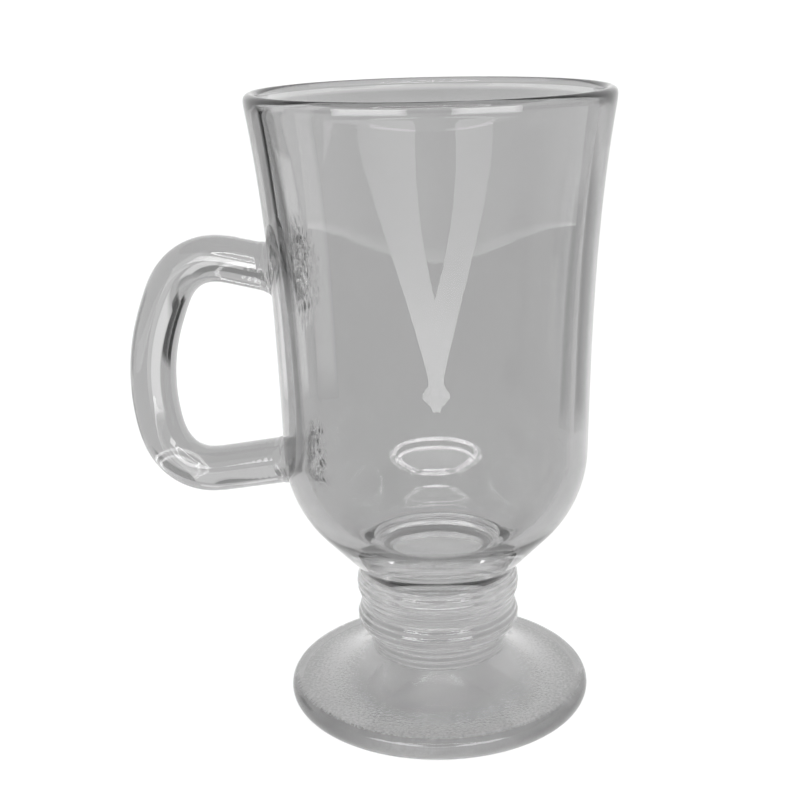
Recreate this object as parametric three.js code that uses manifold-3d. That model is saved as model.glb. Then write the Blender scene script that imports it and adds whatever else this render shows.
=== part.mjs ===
// Footed glass mug: a flared bowl on a beaded stem and a round foot, with an oval rod handle.
// The four pieces are pressed or drawn separately and fused hot, so they meet at plain seats.
import * as THREE from 'three';
import { mergeVertices } from 'three/addons/utils/BufferGeometryUtils.js';
import Module from 'manifold-3d';

// Driving sizes in millimetres and degrees. +Z is up, the foot stands on z = 0, the handle points to -X.

// Foot
const FOOT_RADIUS = 33.7;
const FOOT_EDGE = 5.0; // height of the rolled edge
const FOOT_HEIGHT = 11.6; // land that carries the stem
const FOOT_SLOPE_RUN = 9.0; // how far the top stays flat and low behind the edge

// Stem
const NECK_RADIUS = 15.1; // plain neck above the foot
const NECK_HEIGHT = 4.6;
const BEAD_RADIUS = 17.95; // crest of both beads
const WAIST_RADIUS = 17.1; // groove between the beads
const LOWER_ROLL = 3.0; // from the neck up to the lower crest
const BEAD_PITCH = 7.7; // from crest to crest
const UPPER_ROLL = 3.9; // from the upper crest up to the bowl

// Bowl
const BOWL_HEIGHT = 104.2;
const SEAT_RADIUS = 16.6; // foot of the bowl, on the stem
const BASE_SLOPE = 47; // cone of the bowl's underside, above level
const BODY_RADIUS = 32.9; // outside, where the wall starts
const SHOULDER_ROUND = 26.5; // round from the cone into the wall
const WALL_DRAFT = 1.4; // the wall leans out by this much over its height
const RIM_FLARE = 3.7; // and flares by this much more at the rim
const WALL_THICKNESS = 4.0; // at the shoulder
const LIP_THICKNESS = 2.8; // at the rim
const FLOOR_THICKNESS = 6.5;
const FLOOR_ROUND = 9.0; // round from the floor into the inner cone

// Handle, measured out from the body's radius and up from the bowl's seat
const ROD_DEPTH = 10.2; // in the plane of the handle
const ROD_WIDTH = 11.0; // across it
const UPPER_ROOT_RISE = 65.0;
const UPPER_BEND_REACH = 23.4;
const UPPER_BEND_RISE = 70.1;
const UPPER_BEND_ROUND = 12.5;
const GRIP_REACH = 34.6;
const GRIP_RISE = 41.5;
const LOWER_BEND_REACH = 28.2;
const LOWER_BEND_RISE = 17.4;
const LOWER_BEND_ROUND = 11.0;
const LOWER_ROOT_RISE = 23.7;
const ROOT_FLARE = 1.5; // the rod spreads by this much where it is fused to the wall
const ROOT_LENGTH = 4.5; // over this length outside the wall
const ROOT_SINK = 0.3; // the spread runs out this far under the rod's skin
const FUSE_GAP = 0.3; // clearance between the rod's cut ends and the wall

// Facets
const TURN_STEPS = 48;
const CURVE_STEPS = 4;
const BEAD_STEPS = 8;
const ROD_STEPS = 40;
const ROD_SIDES = 18;
const FLARE_STEPS = 8;
const MERGE_DISTANCE = 1e-4; // points closer than this are one corner

// Worked out heights
const STEM_HEIGHT = NECK_HEIGHT + LOWER_ROLL + BEAD_PITCH + UPPER_ROLL;
const SEAT_HEIGHT = FOOT_HEIGHT + STEM_HEIGHT;
const RIM_HEIGHT = SEAT_HEIGHT + BOWL_HEIGHT;
const RIM_RADIUS = BODY_RADIUS + WALL_DRAFT + RIM_FLARE;

const wasm = await Module();
wasm.setup();

const glass = new THREE.MeshStandardMaterial({
  color: 0xc8cbcc,
  roughness: 0.04,
  metalness: 0,
  transparent: true,
  opacity: 0.35,
});

// Length from a corner to the start of its round, for two legs that turn by an angle
function tangentLength(before, corner, after, round) {
  const turn = corner.clone().sub(before).angleTo(after.clone().sub(corner));
  return round * Math.tan(turn / 2);
}

// Draws a round at a corner of a path: a line up to it, then an arc that leaves it along the next leg
function roundCorner(path, before, corner, after, length) {
  const inward = before.clone().sub(corner).normalize();
  const onward = after.clone().sub(corner).normalize();
  const start = corner.clone().addScaledVector(inward, length);
  const end = corner.clone().addScaledVector(onward, length);
  const halfAngle = inward.angleTo(onward) / 2;
  const middle = inward.clone().add(onward).normalize();
  const centre = corner.clone().addScaledVector(middle, length / Math.cos(halfAngle));
  const from = start.clone().sub(centre);
  const to = end.clone().sub(centre);
  path.lineTo(start.x, start.y);
  path.absarc(centre.x, centre.y, from.length(), from.angle(), to.angle(), from.cross(to) < 0);
}

// Turns a closed outline of radius and height about the vertical axis
function turned(path, steps) {
  const outline = path.getPoints(steps);
  return new THREE.LatheGeometry(outline, TURN_STEPS).rotateX(Math.PI / 2);
}

function piece(name, geometry) {
  const mesh = new THREE.Mesh(geometry, glass.clone());
  mesh.name = name;
  return mesh;
}

// Foot: flat underside, half-round edge and a top that sweeps up to the stem's land
function footShape() {
  const edge = FOOT_EDGE / 2;
  const path = new THREE.Path();
  path.moveTo(0, 0);
  path.lineTo(FOOT_RADIUS - edge, 0);
  path.absarc(FOOT_RADIUS - edge, edge, edge, -Math.PI / 2, Math.PI / 2, false);
  path.quadraticCurveTo(FOOT_RADIUS - edge - FOOT_SLOPE_RUN, FOOT_EDGE, NECK_RADIUS, FOOT_HEIGHT);
  path.lineTo(0, FOOT_HEIGHT);
  return turned(path, CURVE_STEPS);
}

// Stem: a plain neck, then two soft beads whose crests follow a cosine
function stemShape() {
  const neckTop = FOOT_HEIGHT + NECK_HEIGHT;
  const lowerCrest = neckTop + LOWER_ROLL;
  const upperCrest = lowerCrest + BEAD_PITCH;
  const outline = [new THREE.Vector2(0, FOOT_HEIGHT), new THREE.Vector2(NECK_RADIUS, FOOT_HEIGHT)];
  const roll = (radius, height, turn) => {
    const out = radius + (BEAD_RADIUS - radius) * Math.cos(turn);
    outline.push(new THREE.Vector2(out, height));
  };
  for (let i = 0; i <= BEAD_STEPS / 2; i += 1) {
    const turn = (Math.PI / 2) * (1 - i / (BEAD_STEPS / 2));
    roll(NECK_RADIUS, lowerCrest - LOWER_ROLL * Math.sin(turn), turn);
  }
  for (let i = 1; i < BEAD_STEPS; i += 1) {
    const share = i / BEAD_STEPS;
    const middle = (BEAD_RADIUS + WAIST_RADIUS) / 2;
    const swing = (BEAD_RADIUS - WAIST_RADIUS) / 2;
    const out = middle + swing * Math.cos(2 * Math.PI * share);
    outline.push(new THREE.Vector2(out, lowerCrest + BEAD_PITCH * share));
  }
  for (let i = 0; i <= BEAD_STEPS / 2; i += 1) {
    const turn = (Math.PI / 2) * (i / (BEAD_STEPS / 2));
    roll(SEAT_RADIUS, upperCrest + UPPER_ROLL * Math.sin(turn), turn);
  }
  outline.push(new THREE.Vector2(0, SEAT_HEIGHT));
  return new THREE.LatheGeometry(outline, TURN_STEPS).rotateX(Math.PI / 2);
}

// Outside of the bowl from its seat to the rim, grown by an offset: cone, round, drafted and flared wall
function bowlOutside(path, offset) {
  const slope = Math.tan(THREE.MathUtils.degToRad(BASE_SLOPE));
  const body = BODY_RADIUS + offset;
  const seat = new THREE.Vector2(SEAT_RADIUS + offset, SEAT_HEIGHT);
  const corner = new THREE.Vector2(body, seat.y + (body - seat.x) * slope);
  const wallHeight = RIM_HEIGHT - corner.y;
  const lean = WALL_DRAFT / wallHeight;
  const above = new THREE.Vector2(body + WALL_DRAFT, corner.y + wallHeight);
  const length = tangentLength(seat, corner, above, SHOULDER_ROUND);
  path.lineTo(seat.x, seat.y);
  roundCorner(path, seat, corner, above, length);
  const lip = RIM_HEIGHT - LIP_THICKNESS / 2;
  const foot = path.currentPoint.clone();
  const third = (lip - foot.y) / 3;
  const end = RIM_RADIUS + offset;
  path.bezierCurveTo(
    foot.x + lean * third, foot.y + third,
    foot.x + lean * 2 * third, foot.y + 2 * third,
    end, lip,
  );
  return { foot, lean, lip, end };
}

// Bowl: the outside, a half-round lip, and an inside that thickens from the lip down to the floor
function bowlShape() {
  const path = new THREE.Path();
  path.moveTo(0, SEAT_HEIGHT);
  const wall = bowlOutside(path, 0);
  const lipRadius = LIP_THICKNESS / 2;
  path.absarc(wall.end - lipRadius, wall.lip, lipRadius, 0, Math.PI, false);
  const inner = BODY_RADIUS - WALL_THICKNESS;
  const slope = Math.tan(THREE.MathUtils.degToRad(BASE_SLOPE));
  const third = (wall.lip - wall.foot.y) / 3;
  const start = wall.foot.x - WALL_THICKNESS;
  path.bezierCurveTo(
    start + wall.lean * 2 * third, wall.foot.y + 2 * third,
    start + wall.lean * third, wall.foot.y + third,
    start, wall.foot.y,
  );
  const floor = SEAT_HEIGHT + FLOOR_THICKNESS;
  const shift = WALL_THICKNESS / Math.cos(THREE.MathUtils.degToRad(BASE_SLOPE));
  const coneHeight = (radius) => SEAT_HEIGHT + shift + (radius - SEAT_RADIUS) * slope;
  const shoulder = new THREE.Vector2(inner, coneHeight(inner));
  const wallPoint = path.currentPoint.clone();
  const knuckle = new THREE.Vector2(SEAT_RADIUS + (floor - SEAT_HEIGHT - shift) / slope, floor);
  const middle = new THREE.Vector2(0, floor);
  const round = SHOULDER_ROUND - WALL_THICKNESS;
  roundCorner(path, wallPoint, shoulder, knuckle, tangentLength(wallPoint, shoulder, knuckle, round));
  roundCorner(path, shoulder, knuckle, middle, tangentLength(shoulder, knuckle, middle, FLOOR_ROUND));
  path.lineTo(0, floor);
  return turned(path, CURVE_STEPS);
}

// Bowl filled in and grown by the fuse gap, which trims the handle's ends
function bowlEnvelope() {
  const path = new THREE.Path();
  path.moveTo(0, SEAT_HEIGHT);
  const wall = bowlOutside(path, FUSE_GAP);
  path.lineTo(0, wall.lip);
  return turned(path, CURVE_STEPS);
}

// Middle line of the handle in its plane: two straight arms, two bends and a long bowed grip
function handleCorners() {
  const at = (reach, rise) => new THREE.Vector2(BODY_RADIUS + reach, SEAT_HEIGHT + rise);
  return {
    upperRoot: at(-WALL_THICKNESS, UPPER_ROOT_RISE),
    upperBend: at(UPPER_BEND_REACH, UPPER_BEND_RISE),
    grip: at(GRIP_REACH, GRIP_RISE),
    lowerBend: at(LOWER_BEND_REACH, LOWER_BEND_RISE),
    lowerRoot: at(-WALL_THICKNESS, LOWER_ROOT_RISE),
  };
}

function handleLine() {
  const { upperRoot, upperBend, grip, lowerBend, lowerRoot } = handleCorners();
  const upper = tangentLength(upperRoot, upperBend, grip, UPPER_BEND_ROUND);
  const lower = tangentLength(grip, lowerBend, lowerRoot, LOWER_BEND_ROUND);
  const upperLeg = upperBend.distanceTo(grip) - upper;
  const lowerLeg = lowerBend.distanceTo(grip) - lower;
  const path = new THREE.Path();
  path.moveTo(upperRoot.x, upperRoot.y);
  roundCorner(path, upperRoot, upperBend, grip, upper);
  roundCorner(path, upperBend, grip, lowerBend, Math.min(upperLeg, lowerLeg));
  roundCorner(path, grip, lowerBend, lowerRoot, lower);
  path.lineTo(lowerRoot.x, lowerRoot.y);
  return path;
}

// A flat path of reach and height, stood up in the handle's plane
class HandleCurve extends THREE.Curve {
  constructor(path) {
    super();
    this.path = path;
  }

  getPoint(share, target = new THREE.Vector3()) {
    const point = this.path.getPoint(share);
    return target.set(-point.x, 0, point.y);
  }
}

function solid(geometry) {
  geometry.deleteAttribute('normal');
  geometry.deleteAttribute('uv');
  const merged = mergeVertices(geometry, MERGE_DISTANCE);
  const vertProperties = new Float32Array(merged.attributes.position.array);
  const triVerts = new Uint32Array(merged.index.array);
  return new wasm.Manifold(new wasm.Mesh({ numProp: 3, vertProperties, triVerts }));
}

function geometryOf(body) {
  const mesh = body.getMesh();
  const geometry = new THREE.BufferGeometry();
  geometry.setAttribute('position', new THREE.BufferAttribute(mesh.vertProperties, 3));
  geometry.setIndex(new THREE.BufferAttribute(mesh.triVerts, 1));
  geometry.computeVertexNormals();
  return geometry;
}

// Outside radius of the bowl's wall at a height, down to the round of the shoulder
function wallRadius(height) {
  const { foot, lean, lip, end } = bowlOutside(new THREE.Path().moveTo(0, SEAT_HEIGHT), 0);
  const rise = Math.max(height - foot.y, 0);
  const flare = end - foot.x - lean * (lip - foot.y);
  return foot.x + lean * rise + flare * (rise / (lip - foot.y)) ** 3;
}

// Spread end of the rod: a trumpet along the arm whose radius grows with the square of the way to the wall.
// It starts as far inside the wall as it ends outside it.
function rootFlare(root, bend) {
  const out = bend.clone().sub(root).normalize();
  const wall = (wallRadius(root.y) - root.x) / out.x;
  const outline = [new THREE.Vector2(0, wall - ROOT_LENGTH)];
  for (let i = 0; i <= FLARE_STEPS; i += 1) {
    const way = 2 * (i / FLARE_STEPS) - 1;
    const spread = (ROOT_FLARE + ROOT_SINK) * (1 - way) ** 2 - ROOT_SINK;
    outline.push(new THREE.Vector2(ROD_DEPTH / 2 + spread, wall + ROOT_LENGTH * way));
  }
  outline.push(new THREE.Vector2(0, wall + ROOT_LENGTH));
  const trumpet = new THREE.LatheGeometry(outline, ROD_SIDES);
  trumpet.scale(1, 1, ROD_WIDTH / ROD_DEPTH);
  const direction = new THREE.Vector3(-out.x, 0, out.y);
  const turn = new THREE.Quaternion().setFromUnitVectors(new THREE.Vector3(0, 1, 0), direction);
  const place = new THREE.Vector3(-root.x, 0, root.y);
  const stand = new THREE.Matrix4().compose(place, turn, new THREE.Vector3(1, 1, 1));
  return solid(trumpet.applyMatrix4(stand));
}

// Handle: an oval rod along its middle line, spread at both ends and trimmed to the bowl's wall
function handleShape() {
  const { upperRoot, upperBend, lowerBend, lowerRoot } = handleCorners();
  const section = new THREE.Shape();
  section.absellipse(0, 0, ROD_WIDTH / 2, ROD_DEPTH / 2, 0, 2 * Math.PI, false, 0);
  const rod = new THREE.ExtrudeGeometry(section, {
    steps: ROD_STEPS,
    curveSegments: ROD_SIDES / 2,
    extrudePath: new HandleCurve(handleLine()),
    bevelEnabled: false,
  });
  const whole = solid(rod)
    .add(rootFlare(upperRoot, upperBend))
    .add(rootFlare(lowerRoot, lowerBend));
  return geometryOf(whole.subtract(solid(bowlEnvelope())));
}

const mug = new THREE.Group();
mug.add(piece('foot', footShape()));
mug.add(piece('stem', stemShape()));
mug.add(piece('bowl', bowlShape()));
mug.add(piece('handle', handleShape()));

export default mug;
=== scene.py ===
"""Footed glass mug: a flared bowl, a beaded stem, a round foot and an oval rod handle, all of clear glass.

The four pieces are fused hot. Each one is a closed surface of its own, and the faces where two of them
meet carry a joint material that neither bends nor mirrors light, as there is no skin inside fused glass.
"""

import math
from typing import NamedTuple

import bpy
import numpy as np
from bpy.props import FloatProperty, FloatVectorProperty, PointerProperty
from bpy.types import Operator, Panel, PropertyGroup
from mathutils import Matrix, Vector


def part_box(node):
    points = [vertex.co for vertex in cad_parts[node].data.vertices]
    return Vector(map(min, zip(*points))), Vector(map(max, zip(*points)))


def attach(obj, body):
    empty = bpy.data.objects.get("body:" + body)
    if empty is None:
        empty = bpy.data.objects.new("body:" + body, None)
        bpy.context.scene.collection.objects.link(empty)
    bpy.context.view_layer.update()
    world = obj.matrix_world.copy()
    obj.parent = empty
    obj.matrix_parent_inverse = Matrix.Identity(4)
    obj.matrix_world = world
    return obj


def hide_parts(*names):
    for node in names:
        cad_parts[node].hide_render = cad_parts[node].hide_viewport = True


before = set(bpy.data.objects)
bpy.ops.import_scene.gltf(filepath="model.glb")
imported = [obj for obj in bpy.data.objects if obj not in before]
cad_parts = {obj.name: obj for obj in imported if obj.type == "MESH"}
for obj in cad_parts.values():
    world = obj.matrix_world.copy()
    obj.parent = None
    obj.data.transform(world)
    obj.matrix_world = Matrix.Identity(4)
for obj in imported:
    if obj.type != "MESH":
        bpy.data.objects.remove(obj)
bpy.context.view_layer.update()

bl_info = {
    "name": "Footed Glass Mug",
    "version": (1, 0, 0),
    "blender": (4, 5, 0),
    "location": "View3D > Sidebar > Mug",
    "description": "Builds a footed glass mug around its packed frame, with a plain studio stage",
    "category": "Add Mesh",
}

BODY = "root"
MM = 0.001
FULL_TURN = 2 * math.pi
BOWL_LOW, BOWL_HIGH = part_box("bowl")
STEM_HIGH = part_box("stem")[1]
FOOT_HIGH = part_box("foot")[1]

# Fineness of the surfaces
TURN_COLUMNS = 240
TURN_CROWDING = 0.72  # share by which the columns crowd together on the handle's side
OUTER_ROWS = 104
ROLL_ROWS = 17
INNER_ROWS = 130
STEM_ROWS = 150
SWEEP_ROWS = 60
ROD_COLUMNS = 96
ROD_ROWS = 260
ROD_CROWDING = 1 / 13  # share by which the rows crowd together at the roots
CAP_ROWS = 7
STAGE_COLUMNS = 96
SAME_POINT = 1e-9  # points of a line that are nearer than this are one
SHARP_ANGLE = math.radians(35)

# Marks of hot work in the bowl's wall, with reaches in footprints of a root
WAVE_PITCH = 16 * MM
WAVE_COUNT = 7
WAVE_UPRIGHT = 0.35  # share at which lengths up the wall count, so the wave is longer that way
WRINKLE_PITCH = 1.9 * MM
WRINKLE_SWAY = 0.9 * MM
WRINKLE_RISE = 1.45
WRINKLE_SPREAD = 1.15
SEAM_PITCH = 2.2 * MM
SEAM_SWAY = 1.3 * MM
SEAM_REACH = 1.3
SEAM_LEVEL = 0.2  # a seam lies where its lines stand higher than this
FUSED_REACH = 0.97
WAVE_SEED = 11
WRINKLE_SEED = 21
SEAM_SEED = 31
SQUIGGLE_WAVES = 4

# Mould rings of the stem
RING_PITCH = 1.5 * MM
RING_FADE = 0.8 * MM  # run at both ends over which they die out

# Roots of the handle
ROOT_PITCH = 1.5 * MM  # from one ring of the fused glass to the next
ROOT_SWAY = 0.5  # by how much the rings lead and lag round the rod, in radians
ROOT_FADE = 2.2 * MM
ROOT_START = 0.4 * MM  # run at the wall over which the rings set in
ROOT_EASE = 9 * MM  # run over which the rows turn from the wall's cut to square across the rod
ROOT_DEPTH = 16 * MM  # furthest that the middle line runs inside the wall
HALVINGS = 40


def length(name, description, default):
    """A size in metres that a user may change."""
    return FloatProperty(
        name=name, description=description, default=default, min=0.0, precision=5,
        subtype="DISTANCE", unit="LENGTH",
    )


def angle(name, description, default):
    """An angle, given in degrees and kept in radians."""
    return FloatProperty(
        name=name, description=description, default=math.radians(default),
        subtype="ANGLE", unit="ROTATION",
    )


def factor(name, description, default):
    """A plain share or strength."""
    return FloatProperty(name=name, description=description, default=default, min=0.0, precision=4)


def colour(name, description, default):
    """A colour in linear light."""
    return FloatVectorProperty(
        name=name, description=description, default=default, size=3, min=0.0, max=1.0, subtype="COLOR",
    )


class BowlSizes(PropertyGroup):
    seat_height: length("Seat height", "Where the bowl stands on the stem", BOWL_LOW.z)
    rim_height: length("Rim height", "Top of the lip", BOWL_HIGH.z)
    rim_radius: length("Rim radius", "Outside of the lip", BOWL_HIGH.x)
    seat_radius: length("Seat radius", "Foot of the bowl on the stem", 16.6 * MM)
    base_slope: angle("Base slope", "Cone of the underside, above level", 47)
    body_radius: length("Body radius", "Outside where the wall starts", 32.9 * MM)
    shoulder_round: length("Shoulder round", "Round from the cone into the wall", 26.5 * MM)
    wall_draft: length("Wall draft", "How far the wall leans out over its height", 1.4 * MM)
    wall: length("Wall thickness", "At the shoulder", 4.0 * MM)
    lip: length("Lip thickness", "At the rim", 2.8 * MM)
    lip_roll: length("Lip roll", "Run under the lip over which the outside turns upright", 1.8 * MM)
    floor: length("Floor thickness", "Glass under the drink", 6.5 * MM)
    floor_round: length("Floor round", "Round from the floor into the inner cone", 19.5 * MM)
    wave: length("Wave", "Slow unevenness of the pressed inner wall", 0.035 * MM)
    wrinkle: length("Wrinkle", "Height of the wrinkles behind the handle's roots", 0.45 * MM)


class StemSizes(PropertyGroup):
    neck_radius: length("Neck radius", "Plain neck above the foot", 15.1 * MM)
    neck_height: length("Neck height", "Plain neck above the foot", 4.6 * MM)
    bead_radius: length("Bead radius", "Crest of both beads", STEM_HIGH.x)
    waist_radius: length("Waist radius", "Groove between the beads", 17.1 * MM)
    lower_roll: length("Lower roll", "From the neck up to the lower crest", 3.0 * MM)
    bead_pitch: length("Bead pitch", "From crest to crest", 7.7 * MM)
    ring: length("Ring depth", "Depth of the fine rings left by the mould", 0.12 * MM)


class FootSizes(PropertyGroup):
    radius: length("Radius", "Outside of the rolled edge", FOOT_HIGH.x)
    edge: length("Edge", "Height of the rolled edge", 5.0 * MM)
    height: length("Height", "Land that carries the stem", FOOT_HIGH.z)
    slope_run: length("Slope run", "How far the top stays low behind the edge", 9.0 * MM)


class HandleSizes(PropertyGroup):
    depth: length("Depth", "Rod in the plane of the handle", 10.2 * MM)
    width: length("Width", "Rod across the plane of the handle", 11.0 * MM)
    upper_root_rise: length("Upper root rise", "Above the bowl's seat", 65.0 * MM)
    upper_bend_reach: length("Upper bend reach", "Out from the body", 23.4 * MM)
    upper_bend_rise: length("Upper bend rise", "Above the bowl's seat", 70.1 * MM)
    upper_bend_round: length("Upper bend round", "Radius of the middle line", 12.5 * MM)
    grip_reach: length("Grip reach", "Out from the body", 34.6 * MM)
    grip_rise: length("Grip rise", "Above the bowl's seat", 41.5 * MM)
    lower_bend_reach: length("Lower bend reach", "Out from the body", 28.2 * MM)
    lower_bend_rise: length("Lower bend rise", "Above the bowl's seat", 17.4 * MM)
    lower_bend_round: length("Lower bend round", "Radius of the middle line", 11.0 * MM)
    lower_root_rise: length("Lower root rise", "Above the bowl's seat", 23.7 * MM)
    soften: length("Softening", "Run over which a bend eases into an arm", 2.5 * MM)
    flare: length("Root flare", "Spread of the rod at the wall", 1.5 * MM)
    flare_length: length("Root length", "Length of the spread", 4.5 * MM)
    ripple: length("Root ripple", "Height of the rings round the fused roots", 0.12 * MM)


class GlassLook(PropertyGroup):
    outer_tint: colour("Outside tint", "Glass of the bowl's outside", (0.375, 0.375, 0.375))
    inner_tint: colour("Inside tint", "Glass of the bowl's inside", (0.90, 0.90, 0.90))
    # Painted light: the lip's glass is paler than the outside's, which lifts the dark line that the dark sky
    # leaves along the rim.
    lip_painted_lift_tint: colour("Lip tint", "Glass of the bowl's lip", (0.46, 0.46, 0.46))
    stem_tint: colour("Stem tint", "Glass of the stem", (0.4, 0.4, 0.4))
    foot_tint: colour("Foot tint", "Glass of the foot", (0.39, 0.39, 0.39))
    under_tint: colour("Underside tint", "Stippled glass under the foot", (0.64, 0.64, 0.64))
    handle_tint: colour("Handle tint", "Glass of the handle", (0.38, 0.38, 0.38))
    ior: factor("Index", "Refractive index of soda-lime glass", 1.51)


class StageLook(PropertyGroup):
    floor_radius: length("Floor radius", "Flat part of the round backdrop", 0.9)
    cove_round: length("Cove round", "Sweep from the floor into the wall", 0.5)
    cove_height: length("Cove height", "Top of the wall", 1.2)
    floor_gap: length("Floor gap", "Hair of air under the foot", 0.1 * MM)
    floor_white: factor("Floor white", "Paper white of the floor", 0.9)
    glow: factor("Backdrop share", "Share of plain white in what is seen of the backdrop", 0.9)
    sky_back: factor("Sky behind", "Soft light from above and behind", 0.6)
    sky_front: factor("Sky in front", "Soft light from above and in front", 0.5)
    ring_round: angle("Ring turn", "Round the mug from square on to the handle", 12.5)
    ring_distance: length("Ring distance", "From the bowl's floor", 1.1)
    ring_glow: factor("Ring glow", "Brightness of the two ring lamps seen through the glass", 17.0)
    panel_glow: factor("Panel glow", "Brightness of the soft panel inside the ring lamps", 4.0)
    key_glow: factor("Key glow", "Brightness of the thin ring lamp that the glass mirrors", 10.0)
    streak_turn: angle("Streak turn", "Middle of the two bright arms on the floor", 13.0)
    streak_near: length("Streak start", "From the axis to where the arms meet", 0.238)
    streak_far: length("Streak end", "From the axis to where the arms end", 0.4)
    streak_glow: factor("Streak glow", "Brightness of the arms where they meet", 5.3)
    streak_fade: factor("Streak fade", "Brightness of the arms at their ends", 2.9)
    mat_start: length("Mat start", "From the axis to the pale mat on the floor", 0.33)
    mat_glow: factor("Mat glow", "Brightness of the pale mat", 1.9)
    camera_distance: length("Camera distance", "From the axis, along the floor", 280.9 * MM)
    camera_height: length("Camera height", "Above the floor", 153.5 * MM)
    camera_round: angle("Camera turn", "Round the mug from square on to the handle", 12.0)
    camera_yaw: angle("Camera yaw", "Aim to the left of the axis", 1.538)
    camera_pitch: angle("Camera pitch", "Aim below level", 16.734)
    camera_roll: angle("Camera roll", "Tilt of the picture", -1.378)
    camera_lens: factor("Lens", "Focal length in millimetres on a 36 mm sensor", 60.885)


# Curves in a plane

def unit(vector):
    """The vector scaled to length one."""
    return vector / np.linalg.norm(vector)


def arc(centre, radius, start, end, count):
    """Points on a circle about a centre, evenly turned from one angle to another."""
    turn = np.linspace(start, end, count)
    return np.column_stack((centre[0] + radius * np.cos(turn), centre[1] + radius * np.sin(turn)))


def line(start, end, count):
    """Points evenly spaced on a straight line."""
    return np.linspace(np.asarray(start, float), np.asarray(end, float), count)


def tangent_length(before, corner, after, radius):
    """Length from a corner to where its round starts: the radius over the tangent of half the corner."""
    back, on = unit(before - corner), unit(after - corner)
    return radius / math.tan(math.acos(np.clip(back @ on, -1, 1)) / 2)


def rounded(before, corner, after, radius, count):
    """Arc that leaves one leg of a corner and joins the other; its centre lies on the corner's bisector."""
    back, on = unit(before - corner), unit(after - corner)
    run = tangent_length(before, corner, after, radius)
    centre = corner + unit(back + on) * math.hypot(run, radius)
    first, last = corner + back * run - centre, corner + on * run - centre
    start = math.atan2(first[1], first[0])
    turn = math.atan2(last[1], last[0]) - start
    turn = (turn + math.pi) % FULL_TURN - math.pi
    return arc(centre, radius, start, start + turn, count)


def run_along(points):
    """Length along a line up to each of its points."""
    return np.r_[0.0, np.cumsum(np.linalg.norm(np.diff(points, axis=0), axis=1))]


def smooth(share):
    """Rises from 0 to 1 with level ends: 3 s squared less 2 s cubed."""
    share = np.clip(share, 0, 1)
    return share * share * (3 - 2 * share)


def softened(points, run, spread):
    """Points of a line averaged with their neighbours: weights fall as a bell over the run along it.

    The averaging sets in over six spreads from either end, so that the ends stay in place.
    """
    weight = np.exp(-0.5 * ((run[:, None] - run) / spread) ** 2)
    mean = weight @ points / weight.sum(axis=1)[:, None]
    ends = smooth(np.minimum(run, run[-1] - run) / (6 * spread))[:, None]
    return points + (mean - points) * ends


def ripples(across, along, seed, count, pitch):
    """Mean of sine waves in a plane, from -1 to 1: an uneven crumple.

    Each wave heads within half a radian of across and has 0.7 to 1.6 of the pitch.
    """
    draw = np.random.default_rng(seed)
    heading = draw.uniform(-0.5, 0.5, count)
    phase = draw.uniform(0, FULL_TURN, count)
    rate = FULL_TURN / (pitch * draw.uniform(0.7, 1.6, count))
    way = across[..., None] * np.cos(heading) + along[..., None] * np.sin(heading)
    return np.sin(way * rate + phase).mean(axis=-1)


def squiggles(across, along, seed, pitch, bend):
    """Mean of sine waves across, each swayed along its length by a slower sine, from -1 to 1.

    Each wave has 0.75 to 1.5 of the pitch and sways over 3 to 6 of it.
    """
    draw = np.random.default_rng(seed)
    rate = FULL_TURN / (pitch * draw.uniform(0.75, 1.5, SQUIGGLE_WAVES))
    sway_rate = FULL_TURN / (pitch * draw.uniform(3.0, 6.0, SQUIGGLE_WAVES))
    phase, sway_phase = draw.uniform(0, FULL_TURN, (2, SQUIGGLE_WAVES))
    sway = bend * np.sin(along[..., None] * sway_rate + sway_phase)
    return np.sin((across[..., None] + sway) * rate + phase).mean(axis=-1)


# Meshes

def turned(outline):
    """Turns an outline of radius and height about Z: (r cos a, r sin a, z) for each angle a.

    The angles crowd towards the handle: half a turn plus p less a share of sine p.
    """
    share = np.arange(TURN_COLUMNS) / TURN_COLUMNS * FULL_TURN - math.pi
    turn = math.pi + share - TURN_CROWDING * np.sin(share)
    radius, height = outline[:, 0, None], outline[:, 1, None]
    return np.stack(np.broadcast_arrays(radius * np.cos(turn), radius * np.sin(turn), height), axis=-1)


def joined(*parts):
    """Outline parts set end to end, less their shared points, and the part that each row of faces is from."""
    points = np.vstack([parts[0]] + [part[1:] for part in parts[1:]])
    rows = np.repeat(np.arange(len(parts)), [len(part) - 1 for part in parts])
    return points, rows


def ring_mesh(name, rings, slots):
    """Mesh of rings of points: quads between neighbours, with the first and last ring drawn to a point.

    rings is rows by columns by 3, and its first and last rows are poles. slots is a slot number for each
    row of faces, or for each face.
    """
    rows, columns = rings.shape[:2]
    body = rings[1:-1].reshape(-1, 3)
    points = np.vstack((rings[0, :1], body, rings[-1, :1]))
    here = np.arange(columns)
    after = np.roll(here, -1)
    start = 1 + np.arange(rows - 3)[:, None] * columns
    quads = np.stack((start + here, start + after, start + columns + after, start + columns + here), axis=-1)
    last = 1 + (rows - 3) * columns
    first_fan = np.stack((np.zeros_like(here), 1 + after, 1 + here), axis=-1)
    last_fan = np.stack((last + here, last + after, np.full_like(here, len(points) - 1)), axis=-1)
    faces = first_fan.tolist() + quads.reshape(-1, 4).tolist() + last_fan.tolist()
    slots = np.broadcast_to(np.asarray(slots).reshape(rows - 1, -1), (rows - 1, columns))
    mesh = bpy.data.meshes.new(name)
    mesh.from_pydata(points.tolist(), [], faces)
    mesh.polygons.foreach_set("material_index", slots.ravel().astype(np.int32))
    mesh.shade_smooth()
    mesh.set_sharp_from_angle(angle=SHARP_ANGLE)
    if mesh.validate():
        raise RuntimeError(f"the surface of {name} has faulty faces")
    piece = bpy.data.objects.new(name, mesh)
    bpy.context.scene.collection.objects.link(piece)
    return piece


def finish_piece(piece, node, *materials):
    """Gives a piece its materials and its body, and hides the node that it stands in for."""
    for material in materials:
        piece.data.materials.append(material)
    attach(piece, BODY)
    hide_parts(node)


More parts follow.
